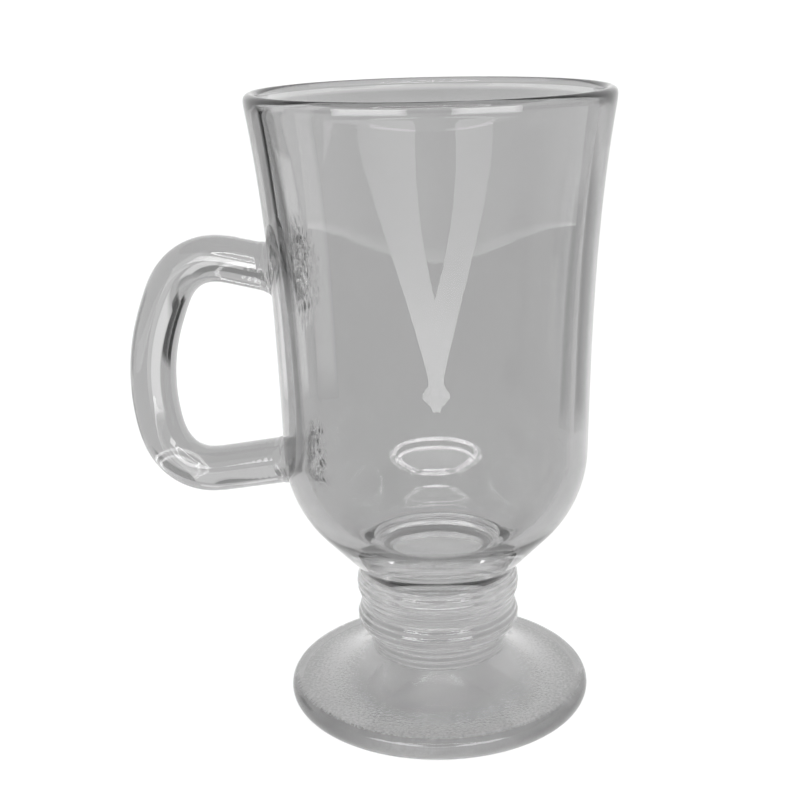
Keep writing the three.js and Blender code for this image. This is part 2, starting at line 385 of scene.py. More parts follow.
# Forms of the bowl and the handle

class BowlForm:
    """Outside and inside of the bowl: a cone, a round and a wall that leans and flares as a cube."""

    def __init__(self, sizes):
        self.sizes = sizes
        slope = math.tan(sizes.base_slope)
        seat = np.array((sizes.seat_radius, sizes.seat_height))
        corner = np.array((sizes.body_radius, 0.0))
        corner[1] = seat[1] + (corner[0] - seat[0]) * slope
        above = np.array((corner[0] + sizes.wall_draft, sizes.rim_height))
        self.lean = sizes.wall_draft / (sizes.rim_height - corner[1])
        self.shoulder = rounded(seat, corner, above, sizes.shoulder_round, count=40)
        self.base = line(seat, self.shoulder[0], count=20)
        self.foot = self.shoulder[-1]
        self.rise = sizes.rim_height - sizes.lip / 2 - self.foot[1]

    def wall(self, foot, end, share):
        """Radius of a wall from its foot to its end: foot + lean x rise + flare x share cubed."""
        flare = end - foot - self.lean * self.rise
        return foot + self.lean * self.rise * share + flare * share ** 3

    def outside(self, height):
        """Outside radius at a height on the wall or on the round of the shoulder."""
        share = np.clip((height - self.foot[1]) / self.rise, 0, 1)
        wall = self.wall(self.foot[0], self.sizes.rim_radius, share)
        shoulder = np.interp(height, self.shoulder[:, 1], self.shoulder[:, 0])
        return np.where(height > self.foot[1], wall, shoulder)

    def outer_wall(self):
        """Outside of the wall: its slope falls to nothing over the lip's roll, so it ends upright."""
        roll = self.sizes.lip_roll / self.rise
        share = np.r_[np.linspace(0, 1 - roll, OUTER_ROWS), np.linspace(1 - roll, 1, ROLL_ROWS)[1:]]
        flare = self.sizes.rim_radius - self.foot[0] - self.lean * self.rise
        slope = self.lean * self.rise + 3 * flare
        turn = slope * np.clip(share - 1 + roll, 0, None) ** 2 / (2 * roll)
        radius = self.wall(self.foot[0], self.sizes.rim_radius, share) - turn
        return np.column_stack((radius, self.foot[1] + self.rise * share))

    def inner_wall(self):
        """Inside of the wall, from the lip down: the outside's curve drawn in by the glass."""
        share = np.linspace(1, 0, INNER_ROWS)
        foot = self.foot[0] - self.sizes.wall
        radius = self.wall(foot, self.sizes.rim_radius - self.sizes.lip, share)
        return np.column_stack((radius, self.foot[1] + self.rise * share))

    def inner_base(self):
        """Inner round, inner cone, floor round and floor, in that order, down from the inner wall."""
        sizes = self.sizes
        slope = math.tan(sizes.base_slope)
        shift = sizes.wall / math.cos(sizes.base_slope)
        floor = sizes.seat_height + sizes.floor
        inner = sizes.body_radius - sizes.wall
        wall_point = np.array((self.foot[0] - sizes.wall, self.foot[1]))
        cone = np.array((inner, sizes.seat_height + shift + (inner - sizes.seat_radius) * slope))
        knuckle = np.array((sizes.seat_radius + (sizes.floor - shift) / slope, floor))
        middle = np.array((0.0, floor))
        shoulder = rounded(wall_point, cone, knuckle, sizes.shoulder_round - sizes.wall, count=34)
        corner = rounded(cone, knuckle, middle, sizes.floor_round, count=16)
        return (
            line(wall_point, shoulder[0], count=3),
            shoulder,
            line(shoulder[-1], corner[0], count=10),
            corner,
            line(corner[-1], middle, count=12),
        )

    def outline(self):
        """Seat, base, shoulder, outer wall, lip, inner wall and the five parts of the inner base."""
        seat = line((0, self.sizes.seat_height), self.base[0], count=6)
        outer, inner = self.outer_wall(), self.inner_wall()
        half = ((outer[-1, 0] - inner[0, 0]) / 2, self.sizes.lip / 2)
        lip = arc((0, 0), 1, 0, math.pi, count=18) * half + (outer[-1] + inner[0]) / 2
        return joined(seat, self.base, self.shoulder, outer, lip, inner, *self.inner_base())


class Root(NamedTuple):
    """One end of the handle: where its line starts, its direction out of the bowl and its footprint."""

    start: np.ndarray
    out: np.ndarray
    half_depth: float
    half_width: float

    def distance(self, points, rise=1.0, spread=1.0):
        """Distance from the root's axis in footprints, where 1 is the edge of the fused patch.

        rise and spread make the footprint taller and wider.
        """
        reach, height = -points[..., 0] - self.start[0], points[..., 2] - self.start[1]
        up = height * self.out[0] - reach * self.out[1]
        off = np.hypot(up / (rise * self.half_depth), points[..., 1] / (spread * self.half_width))
        return np.where(points[..., 0] < 0, off, np.inf)


class HandleForm:
    """Middle line of the handle in its plane, in reach from the axis and height, and its two roots."""

    def __init__(self, sizes, bowl):
        self.sizes = sizes
        self.bowl = bowl
        self.upper_root = self.corner(-bowl.wall, sizes.upper_root_rise)
        self.upper_bend = self.corner(sizes.upper_bend_reach, sizes.upper_bend_rise)
        self.grip = self.corner(sizes.grip_reach, sizes.grip_rise)
        self.lower_bend = self.corner(sizes.lower_bend_reach, sizes.lower_bend_rise)
        self.lower_root = self.corner(-bowl.wall, sizes.lower_root_rise)

    def corner(self, reach, rise):
        """Point at a reach out from the bowl's body and a rise above its seat."""
        return np.array((self.bowl.body_radius + reach, self.bowl.seat_height + rise))

    def line(self):
        """Evenly spaced points on the middle line and their directions: arms, bends and a bowed grip."""
        sizes = self.sizes
        upper_run = tangent_length(self.upper_root, self.upper_bend, self.grip, sizes.upper_bend_round)
        lower_run = tangent_length(self.grip, self.lower_bend, self.lower_root, sizes.lower_bend_round)
        upper_leg = np.linalg.norm(self.upper_bend - self.grip) - upper_run
        lower_leg = np.linalg.norm(self.lower_bend - self.grip) - lower_run
        bow_run = min(upper_leg, lower_leg)
        bow = bow_run / tangent_length(self.upper_bend, self.grip, self.lower_bend, 1.0)
        route = np.vstack((
            self.upper_root[None],
            rounded(self.upper_root, self.upper_bend, self.grip, sizes.upper_bend_round, count=200),
            rounded(self.upper_bend, self.grip, self.lower_bend, bow, count=400),
            rounded(self.grip, self.lower_bend, self.lower_root, sizes.lower_bend_round, count=200),
            self.lower_root[None],
        ))
        # Two rounds may share an end, and only one of such points is kept
        step = np.linalg.norm(np.diff(route, axis=0), axis=1)
        route = route[np.r_[True, step > SAME_POINT]]
        run = run_along(route)
        where = np.linspace(0, run[-1], ROD_ROWS)
        points = np.column_stack((np.interp(where, run, route[:, 0]), np.interp(where, run, route[:, 1])))
        points = softened(points, where, sizes.soften)
        heading = np.gradient(points, where, axis=0)
        heading /= np.linalg.norm(heading, axis=1)[:, None]
        return points, heading

    def roots(self):
        """The upper and the lower root."""
        half_depth = self.sizes.depth / 2 + self.sizes.flare
        half_width = half_depth * self.sizes.width / self.sizes.depth
        return (
            Root(self.upper_root, unit(self.upper_bend - self.upper_root), half_depth, half_width),
            Root(self.lower_root, unit(self.lower_bend - self.lower_root), half_depth, half_width),
        )


class Rod:
    """Skin of the handle: an oval carried along the middle line and cut to the wall at both ends."""

    def __init__(self, sizes, bowl):
        self.sizes = sizes
        self.bowl = BowlForm(bowl)
        self.middle, self.heading = HandleForm(sizes, bowl).line()
        self.run = run_along(self.middle)
        self.turn = np.arange(ROD_COLUMNS) / ROD_COLUMNS * FULL_TURN

    def place(self, where, spread, share=1.0):
        """Points of the rod at lengths along its line, spread out, at a share of the way to its skin."""
        reach, rise = [np.interp(where, self.run, part) for part in self.middle.T]
        ahead = np.stack([np.interp(where, self.run, part) for part in self.heading.T])
        ahead /= np.linalg.norm(ahead, axis=0)
        half = share * (self.sizes.depth / 2 + spread)
        off = half * np.cos(self.turn)
        side = half * self.sizes.width / self.sizes.depth * np.sin(self.turn)
        return np.stack((-(reach - ahead[1] * off), side, rise + ahead[0] * off), axis=-1)

    def flare(self, away):
        """Spread of the rod away from the wall, with rings that die out: flare x (1 - d / L) squared."""
        sizes = self.sizes
        spread = sizes.flare * np.clip(1 - away / sizes.flare_length, 0, None) ** 2
        rings = np.cos(FULL_TURN * away / ROOT_PITCH + ROOT_SWAY * np.sin(2 * self.turn))
        return spread + sizes.ripple * np.exp(-away / ROOT_FADE) * rings * smooth(away / ROOT_START)

    def meet_wall(self, from_start, share=1.0):
        """Length along the line where each strand meets the bowl, found by halving."""
        low = np.zeros(np.broadcast(share, self.turn).shape)
        high = low + ROOT_DEPTH
        for _ in range(HALVINGS):
            half = (low + high) / 2
            point = self.place(half if from_start else self.run[-1] - half, self.sizes.flare, share)
            within = np.hypot(point[..., 0], point[..., 1]) < self.bowl.outside(point[..., 2])
            low, high = np.where(within, half, low), np.where(within, high, half)
        return (low + high) / 2

    def rings(self):
        """Rows of points from root to root, between two caps that close on the middle of the rod.

        The rows lie along the wall's cut at the roots and ease to square across the rod.
        """
        end = self.run[-1]
        starts, ends = self.meet_wall(True), self.meet_wall(False)
        mean_start, mean_end = starts.mean(), ends.mean()
        whole = end - mean_start - mean_end
        share = np.linspace(0, 1, ROD_ROWS)[:, None]
        share = share - ROD_CROWDING * np.sin(FULL_TURN * share)
        from_start, from_end = share * whole, (1 - share) * whole
        shift = (starts - mean_start) * (1 - smooth(from_start / ROOT_EASE))
        shift = shift - (ends - mean_end) * (1 - smooth(from_end / ROOT_EASE))
        where = mean_start + from_start + shift
        away = np.minimum(where - starts, end - ends - where)
        body = self.place(where, self.flare(np.maximum(away, 0)))
        inward = np.linspace(0, 1, CAP_ROWS + 1)[:-1, None]
        first = self.place(self.meet_wall(True, inward), self.sizes.flare, inward)
        last = self.place(end - self.meet_wall(False, inward), self.sizes.flare, inward)
        return np.concatenate((first, body, last[::-1]))


# Lamps, cards and flags of the stage, in metres, and degrees round from square on to the handle

class Card(NamedTuple):
    """An upright card bent round the mug: from angle to angle, at a reach, from height to height."""

    name: str
    start: float
    end: float
    reach: float
    low: float
    high: float
    glow: float


class Ring(NamedTuple):
    """An oval ring lamp: its rise above level, its half width, its half height and its tube's radius."""

    name: str
    rise: float
    width: float
    height: float
    tube: float


class Arm(NamedTuple):
    """One bright arm on the floor: its side, and how it opens, spreads and parts from the other."""

    name: str
    side: int
    opening: float
    spread: float
    parting: float


CARD_CORE = 0.36  # half of a card's even middle, as a share of its size
LIP_CARD_EDGE = 0.5  # share of a lip card's glow at its edges
LIP_CARDS = (
    Card("left_card", start=-42, end=0, reach=0.18, low=0.098, high=0.164, glow=8.0),
    Card("right_card", start=23, end=62, reach=0.18, low=0.098, high=0.164, glow=8.0),
)
FLAG_EDGE = 1.0  # a flag's edges are as white as the backdrop
FLAGS = (
    Card("tall_flag", start=-127, end=-116, reach=0.28, low=0.026, high=0.11, glow=0.06),
    Card("low_flag", start=-138, end=-124, reach=0.28, low=0.026, high=0.085, glow=0.2),
    Card("grey_flag", start=139, end=163, reach=0.2, low=0.001, high=0.075, glow=0.45),
    Card("back_card", start=-153, end=-145, reach=0.235, low=0.001, high=0.105, glow=1.3),
    Card("far_flag", start=-189, end=-145, reach=0.88, low=0.02, high=0.3, glow=0.52),
    Card("bend_card", start=-134, end=-121, reach=0.13, low=0.035, high=0.078, glow=1.75),
    Card("arm_card", start=-140, end=-131, reach=0.13, low=0.083, high=0.1, glow=1.6),
)
SIDE_FLAG = Card("side_flag", start=-112, end=-91, reach=0.3, low=0.015, high=0.11, glow=0.05)

OUTER_RING = Ring("ring_lamp", rise=40.5, width=0.85, height=0.384, tube=0.045)
INNER_RING = Ring("inner_ring_lamp", rise=45.5, width=0.68, height=0.275, tube=0.04)
KEY_RING = Ring("key_lamp", rise=44.5, width=0.6, height=0.29, tube=0.03)
RING_AIM = np.array((0.0, 0.0, 0.05))  # point in the bowl that the rings face
PANEL_SETBACK = 0.05  # from the inner ring back to the soft panel
PANEL_HOLE = 0.02  # share of the panel that is open in its middle

ARMS = (
    Arm("left_streak", side=-1, opening=27.3, spread=20.4, parting=37),
    Arm("right_streak", side=1, opening=26.9, spread=14.1, parting=48),
)
ARM_START = 0.25  # from the axis to where the arms start to open
ARM_UNIT = 0.125  # length in which their run is counted
ARM_PARTING = 0.5  # run at which the arms part
ARM_HALF = 2.0  # half width of an arm where it starts, in degrees
KNOT_SWELL = 7.0  # swelling of the arms where they meet, in degrees
KNOT_LENGTH = 7 * MM
ARM_HEIGHT = 1.5 * MM

MAT_SIDES = -75, 120
MAT_BEND = 0.0312  # how far the near edge bends away, for a turn of one radian
MAT_END = 0.8
MAT_HEIGHT = 0.8 * MM
MAT_EDGE = 1.5  # brightness of the near edge, in parts of the mat's own
BAND_RATE = 24.5  # slow bands across the mat: radians over its width, their start and their depth
BAND_START = -1.5
BAND_DEPTH = 0.14


# Materials of the glass

def new_material(name):
    """A node material and its empty tree."""
    material = bpy.data.materials.new(name)
    material.use_nodes = True
    material.node_tree.nodes.clear()
    return material, material.node_tree


def add_node(tree, kind, inputs=None, **attributes):
    """A node with its attributes set and its inputs set or linked."""
    node = tree.nodes.new(kind)
    for key, value in attributes.items():
        setattr(node, key, value)
    for key, value in (inputs or {}).items():
        if isinstance(value, bpy.types.NodeSocket):
            tree.links.new(value, node.inputs[key])
        else:
            node.inputs[key].default_value = value
    return node


def calc(tree, operation, *values, **attributes):
    """Result of a math node on its values."""
    inputs = dict(enumerate(values))
    return add_node(tree, "ShaderNodeMath", inputs, operation=operation, **attributes).outputs[0]


def object_place(tree):
    """Object coordinates."""
    return add_node(tree, "ShaderNodeTexCoord").outputs["Object"]


def noise(tree, where, scale, detail=3.0, rough=0.5, stretch=(1, 1, 1)):
    """Height of a noise pattern at a place, stretched along the axes."""
    mapping = add_node(tree, "ShaderNodeMapping", {"Vector": where, "Scale": stretch})
    texture = add_node(
        tree, "ShaderNodeTexNoise",
        {"Vector": mapping.outputs["Vector"], "Scale": scale, "Detail": detail, "Roughness": rough},
    )
    return texture.outputs["Fac"]


def ranged(tree, value, span, onto):
    """A value carried from one span onto another, held at the ends."""
    inputs = {"Value": value, "From Min": span[0], "From Max": span[1], "To Min": onto[0], "To Max": onto[1]}
    return add_node(tree, "ShaderNodeMapRange", inputs).outputs["Result"]


def toned(tree, share, tint, low, high):
    """A tint that runs from a low to a high multiple of itself as the share goes from 0 to 1."""
    mix = add_node(tree, "ShaderNodeMix", {"Factor": share}, data_type="RGBA")
    mix.inputs["A"].default_value = (*[low * part for part in tint], 1.0)
    mix.inputs["B"].default_value = (*[min(1.0, high * part) for part in tint], 1.0)
    return mix.outputs["Result"]


def finish_surface(tree, inputs):
    """Ends a material in one Principled shader."""
    shader = add_node(tree, "ShaderNodeBsdfPrincipled", inputs)
    add_node(tree, "ShaderNodeOutputMaterial", {"Surface": shader.outputs["BSDF"]})


def finish_glass(tree, tone, rough, ior, skin):
    """Ends a material in clear glass whose skin is tilted by a bump node."""
    finish_surface(tree, {
        "Base Color": tone,
        "Roughness": rough,
        "IOR": ior,
        "Transmission Weight": 1.0,
        "Normal": skin.outputs["Normal"],
    })


def glass_material(name, tint, ior, haze, bump, fine=900.0):
    """Clear glass: smudges vary its tint and roughness, and smudges and a fine grain tilt its skin.

    haze is the roughness of the smudges, bump the height of the grain in metres, and fine its scale.
    """
    material, tree = new_material(name)
    where = object_place(tree)
    smudge = noise(tree, where, scale=38.0, detail=5.0, rough=0.62, stretch=(1.0, 1.0, 0.45))
    grain = noise(tree, where, scale=fine, detail=2.0)
    tone = toned(tree, ranged(tree, smudge, (0.35, 0.7), (0.0, 1.0)), tint, low=0.985, high=1.015)
    rough = ranged(tree, smudge, (0.45, 0.75), (0.0, haze))
    height = calc(tree, "ADD", smudge, grain)
    skin = add_node(tree, "ShaderNodeBump", {"Height": height, "Distance": bump, "Strength": 1.0})
    finish_glass(tree, tone, rough, ior, skin)
    return material


def stippled_material(name, tint, ior):
    """Glass with a stippled, frosted skin, as on the underside of a pressed foot, with painted light in its
    tint: paler in its middle, where the floor under the foot lies in shade, and darker further out.
    """
    material, tree = new_material(name)
    where = object_place(tree)
    grain = noise(tree, where, scale=1500.0, detail=3.0, rough=0.6)
    cloud = noise(tree, where, scale=90.0, detail=4.0, rough=0.6)
    rough = ranged(tree, cloud, (0.3, 0.7), (0.30, 0.55))
    radius = add_node(tree, "ShaderNodeVectorMath", {0: where}, operation="LENGTH").outputs["Value"]
    # Painted light: the tint is lifted inside 20 mm, where the floor under the foot is in shade, and painted
    # darker beyond 30 mm.
    middle = ranged(tree, radius, (20 * MM, 30 * MM), (0.55, -0.4))
    speck = ranged(tree, grain, (0.35, 0.65), (0.0, 1.0))
    share = calc(tree, "ADD", speck, middle, use_clamp=True)
    tone = toned(tree, share, tint, low=0.55, high=1.45)
    skin = add_node(tree, "ShaderNodeBump", {"Height": grain, "Distance": 0.08 * MM, "Strength": 0.6})
    finish_glass(tree, tone, rough, ior, skin)
    return material


def joint_material():
    """The inside of a fused joint, where the glass runs on without a skin."""
    found = bpy.data.materials.get("fused_joint")
    if found:
        return found
    material, tree = new_material("fused_joint")
    finish_surface(tree, {"Base Color": (1.0, 1.0, 1.0, 1.0), "Roughness": 0.0, "Alpha": 0.0})
    return material


def seam_material():
    """A film of air caught in a fused joint, which shines like silver."""
    material, tree = new_material("seam_silver")
    cloud = noise(tree, object_place(tree), scale=700.0, detail=3.0)
    rough = ranged(tree, cloud, (0.3, 0.7), (0.15, 0.4))
    finish_surface(tree, {"Base Color": (0.95, 0.95, 0.95, 1.0), "Metallic": 1.0, "Roughness": rough})
    return material


# Materials of the stage

def seen_by_eye(tree):
    """1 for camera, mirror and see-through rays, and 0 for the rays that light surfaces."""
    path = add_node(tree, "ShaderNodeLightPath").outputs
    both = calc(tree, "MAXIMUM", path["Is Camera Ray"], path["Is Glossy Ray"])
    return calc(tree, "MAXIMUM", both, path["Is Transmission Ray"])


def white_light(tree, strength):
    """White light of a strength."""
    inputs = {"Color": (1, 1, 1, 1), "Strength": strength}
    return add_node(tree, "ShaderNodeEmission", inputs).outputs["Emission"]


def sheet_sides(tree):
    """How far across (X) and along (Y) a sheet a point lies, from 0 to 1."""
    where = add_node(tree, "ShaderNodeUVMap", uv_map="map").outputs["UV"]
    return add_node(tree, "ShaderNodeSeparateXYZ", {"Vector": where}).outputs


def backdrop_material(look):
    """White paper that keeps soft shadows, lifted towards plain white where it is seen."""
    material, tree = new_material("backdrop_paper")
    fibre = ranged(tree, noise(tree, object_place(tree), scale=600.0), (0.3, 0.7), (0.985, 1.0))
    tone = calc(tree, "MULTIPLY", fibre, look.floor_white)
    paper = add_node(tree, "ShaderNodeBsdfDiffuse", {"Color": tone}).outputs["BSDF"]
    share = calc(tree, "MULTIPLY", seen_by_eye(tree), look.glow)
    mix = add_node(tree, "ShaderNodeMixShader", {0: share, 1: paper, 2: white_light(tree, 1.0)})
    add_node(tree, "ShaderNodeOutputMaterial", {"Surface": mix.outputs["Shader"]})
    return material


def streak_material(name, near, far):
    """A lit sheet that dims along its length and is grainy where it starts."""
    material, tree = new_material(name)
    along = sheet_sides(tree)["Y"]
    level = ranged(tree, along, (0.35, 0.8), (near, far))
    depth = ranged(tree, along, (0.15, 0.42), (0.65, 0.0))
    speck = noise(tree, object_place(tree), scale=420.0, detail=3.0, rough=0.6)
    grain = calc(tree, "MULTIPLY_ADD", ranged(tree, speck, (0.35, 0.65), (-0.5, 0.5)), depth, 1.0)
    light = white_light(tree, calc(tree, "MULTIPLY", level, grain))
    add_node(tree, "ShaderNodeOutputMaterial", {"Surface": light})
    return material


def mat_material(name, glow):
    """A pale mat with a bright line along its near edge and slow bands across it."""
    material, tree = new_material(name)
    sides = sheet_sides(tree)
    level = ranged(tree, sides["Y"], (0.004, 0.012), (MAT_EDGE * glow, glow))
    wave = calc(tree, "SINE", calc(tree, "MULTIPLY_ADD", sides["X"], BAND_RATE, BAND_START))
    light = white_light(tree, calc(tree, "MULTIPLY_ADD", wave, BAND_DEPTH, level))
    add_node(tree, "ShaderNodeOutputMaterial", {"Surface": light})
    return material


def card_material(name, middle, edge):
    """A card that is even over its core, from where its brightness runs to that of its edges."""
    material, tree = new_material(name)
    sides = sheet_sides(tree)
    across, along = [
        calc(tree, "ABSOLUTE", calc(tree, "SUBTRACT", sides[side], 0.5)) for side in ("X", "Y")
    ]
    level = ranged(tree, calc(tree, "MAXIMUM", across, along), (CARD_CORE, 0.5), (middle, edge))
    add_node(tree, "ShaderNodeOutputMaterial", {"Surface": white_light(tree, level)})
    return material


# Sheets of the stage

def round_axis(reach, turn, height):
    """Points round the axis: (R sin a, -R cos a, z), with the angle a from square on to the handle."""
    return np.stack(np.broadcast_arrays(reach * np.sin(turn), -reach * np.cos(turn), height), axis=-1)


def stage_sheet(name, grid, material):
    """Open sheet through a grid of points, with u across and v along, seen only in and through the glass."""
    rows, columns = grid.shape[:2]
    number = np.arange(rows * columns).reshape(rows, columns)
    corners = number[:-1, :-1], number[:-1, 1:], number[1:, 1:], number[1:, :-1]
    quads = np.stack(corners, axis=-1).reshape(-1, 4)
    across, along = np.meshgrid(np.linspace(0, 1, columns), np.linspace(0, 1, rows))
    places = np.column_stack((across.ravel(), along.ravel()))
    mesh = bpy.data.meshes.new(name)
    mesh.from_pydata(grid.reshape(-1, 3).tolist(), [], quads.tolist())
    mesh.uv_layers.new(name="map").data.foreach_set("uv", places[quads.ravel()].ravel())
    mesh.materials.append(material)
    card = bpy.data.objects.new(name, mesh)
    card.visible_camera = False
    card.visible_diffuse = False
    card.visible_shadow = False
    bpy.context.scene.collection.objects.link(card)
    return card


# Operators

class MUG_OT_bowl(Operator):
    """Build the bowl: an outline turned about the axis, with wrinkles behind the handle's roots"""

    bl_idname = "mug.bowl"
    bl_label = "Bowl"

    def execute(self, context):
        scene = context.scene
        sizes, look = scene.mug_bowl, scene.mug_glass
        roots = HandleForm(scene.mug_handle, sizes).roots()
        outline, part = BowlForm(sizes).outline()
        rings = turned(outline)
        outside, inside, joint, silver, lip = range(5)
        row_slots = np.array([joint, outside, outside, outside, lip] + [inside] * 6)[part]
        slots = np.repeat(row_slots[:, None], TURN_COLUMNS, 1)
        outer = slots == outside
        fused, seam = self.marks(rings, roots)
        slots[outer & fused] = joint
        slots[outer & seam] = silver
        self.crumple(rings, np.r_[row_slots == inside, True], sizes, roots)
        piece = ring_mesh("glass_bowl", rings, slots)
        outer_glass = glass_material(
            "bowl_outside_glass", look.outer_tint, look.ior, haze=0.02, bump=0.0006 * MM,
        )
        inner_glass = glass_material(
            "bowl_inside_glass", look.inner_tint, look.ior, haze=0.02, bump=0.001 * MM,
        )
        # Painted light: the lip's glass is paler than the outside's, lifting the dark line along the rim.
        lip_glass = glass_material("bowl_lip_painted_lift_glass", look.lip_painted_lift_tint, look.ior, haze=0.02, bump=0.0006 * MM)
        finish_piece(piece, "bowl", outer_glass, inner_glass, joint_material(), seam_material(), lip_glass)
        return {"FINISHED"}

    def marks(self, rings, roots):
        """Faces that are fused to the handle, and faces on a seam of trapped air.

        A fused face has its four corners in a root's footprint. A seam follows the crests of squiggles.
        """
        fused = np.zeros(rings.shape[:2], bool)
        seam = np.zeros(rings.shape[:2], bool)
        for number, root in enumerate(roots):
            off = root.distance(rings)
            crests = squiggles(rings[..., 1], rings[..., 2], SEAM_SEED + number, SEAM_PITCH, SEAM_SWAY)
            fused |= off < FUSED_REACH
            seam |= (off < SEAM_REACH) & (crests > SEAM_LEVEL)
        fused = fused & np.roll(fused, -1, 1)
        return fused[:-1] & fused[1:], seam[:-1]

    def crumple(self, rings, inner_rows, sizes, roots):
        """Moves the inner rows in and out: by a slow wave, and by squiggles under a bell at each root."""
        across, height = rings[..., 1], rings[..., 2]
        around = np.arctan2(across, rings[..., 0]) * sizes.body_radius
        rise = sizes.wave * ripples(around, height * WAVE_UPRIGHT, WAVE_SEED, WAVE_COUNT, WAVE_PITCH)
        for number, root in enumerate(roots):
            patch = np.exp(-root.distance(rings, WRINKLE_RISE, WRINKLE_SPREAD) ** 4)
            lines = squiggles(across, height, WRINKLE_SEED + number, WRINKLE_PITCH, WRINKLE_SWAY)
            rise += sizes.wrinkle * patch * lines
        radius = np.hypot(rings[..., 0], rings[..., 1])
        fade = smooth(radius / sizes.seat_radius) * inner_rows[:, None]
        rings[..., :2] *= (1 + rise * fade / np.maximum(radius, MM))[..., None]


class MUG_OT_stem(Operator):
    """Build the stem: a neck and two beads whose outline follows a cosine, with fine mould rings"""

    bl_idname = "mug.stem"
    bl_label = "Stem"

    def execute(self, context):
        scene = context.scene
        sizes, look = scene.mug_stem, scene.mug_glass
        low, high = scene.mug_foot.height, scene.mug_bowl.seat_height
        seat = scene.mug_bowl.seat_radius
        neck_top = low + sizes.neck_height
        lower = neck_top + sizes.lower_roll
        upper = lower + sizes.bead_pitch
        height = np.linspace(low, high, STEM_ROWS)
        rise = np.clip((lower - height) / sizes.lower_roll, 0, 1)
        roll = sizes.neck_radius + (sizes.bead_radius - sizes.neck_radius) * np.sqrt(1 - rise ** 2)
        swing = (sizes.bead_radius - sizes.waist_radius) / 2
        beads = sizes.bead_radius - swing + swing * np.cos(FULL_TURN * (height - lower) / sizes.bead_pitch)
        fall = np.clip((height - upper) / (high - upper), 0, 1)
        cap = seat + (sizes.bead_radius - seat) * np.sqrt(1 - fall ** 2)
        radius = np.select(
            [height < neck_top, height < lower, height < upper], [sizes.neck_radius, roll, beads], cap,
        )
        ends = smooth(np.minimum(height - low, high - height) / RING_FADE)
        radius = radius + sizes.ring * ends * np.sin(FULL_TURN * height / RING_PITCH)
        side = np.column_stack((radius, height))
        outline, part = joined(
            line((0, low), side[0], count=6), side, line(side[-1], (0, high), count=6),
        )
        skin, joint = range(2)
        piece = ring_mesh("glass_stem", turned(outline), np.array([joint, skin, joint])[part])
        glass = glass_material("stem_glass", look.stem_tint, look.ior, haze=0.03, bump=0.002 * MM)
        finish_piece(piece, "stem", glass, joint_material())
        return {"FINISHED"}


class MUG_OT_foot(Operator):
    """Build the foot: a disc with a rolled edge and a top that sweeps up to the stem as a parabola"""

    bl_idname = "mug.foot"
    bl_label = "Foot"

    def execute(self, context):
        scene = context.scene
        sizes, look = scene.mug_foot, scene.mug_glass
        edge = sizes.edge / 2
        flat = sizes.radius - edge
        first = np.array((flat, sizes.edge))
        bend = np.array((flat - sizes.slope_run, sizes.edge))
        last = np.array((scene.mug_stem.neck_radius, sizes.height))
        share = np.linspace(0, 1, SWEEP_ROWS)[:, None]
        sweep = (1 - share) ** 2 * first + 2 * share * (1 - share) * bend + share ** 2 * last
        outline, part = joined(
            line((0, 0), (flat, 0), count=24),
            arc((flat, edge), edge, -math.pi / 2, math.pi / 2, count=28),
            sweep,
            line(last, (0, sizes.height), count=6),
        )
        skin, joint, under = range(3)
        piece = ring_mesh("glass_foot", turned(outline), np.array([under, skin, skin, joint])[part])
        glass = glass_material(
            "foot_glass", look.foot_tint, look.ior, haze=0.03, bump=0.014 * MM, fine=2200.0,
        )
        stipple = stippled_material("foot_underside_glass", look.under_tint, look.ior)
        finish_piece(piece, "foot", glass, joint_material(), stipple)
        return {"FINISHED"}


class MUG_OT_handle(Operator):
    """Build the handle: an oval carried along its middle line, spread and rippled at both roots"""

    bl_idname = "mug.handle"
    bl_label = "Handle"

    def execute(self, context):
        scene = context.scene
        look = scene.mug_glass
        skin, joint = range(2)
        slots = np.repeat((joint, skin, joint), (CAP_ROWS, ROD_ROWS - 1, CAP_ROWS))
        piece = ring_mesh("glass_handle", Rod(scene.mug_handle, scene.mug_bowl).rings(), slots)
        glass = glass_material("handle_glass", look.handle_tint, look.ior, haze=0.02, bump=0.002 * MM)
        finish_piece(piece, "handle", glass, joint_material())
        return {"FINISHED"}


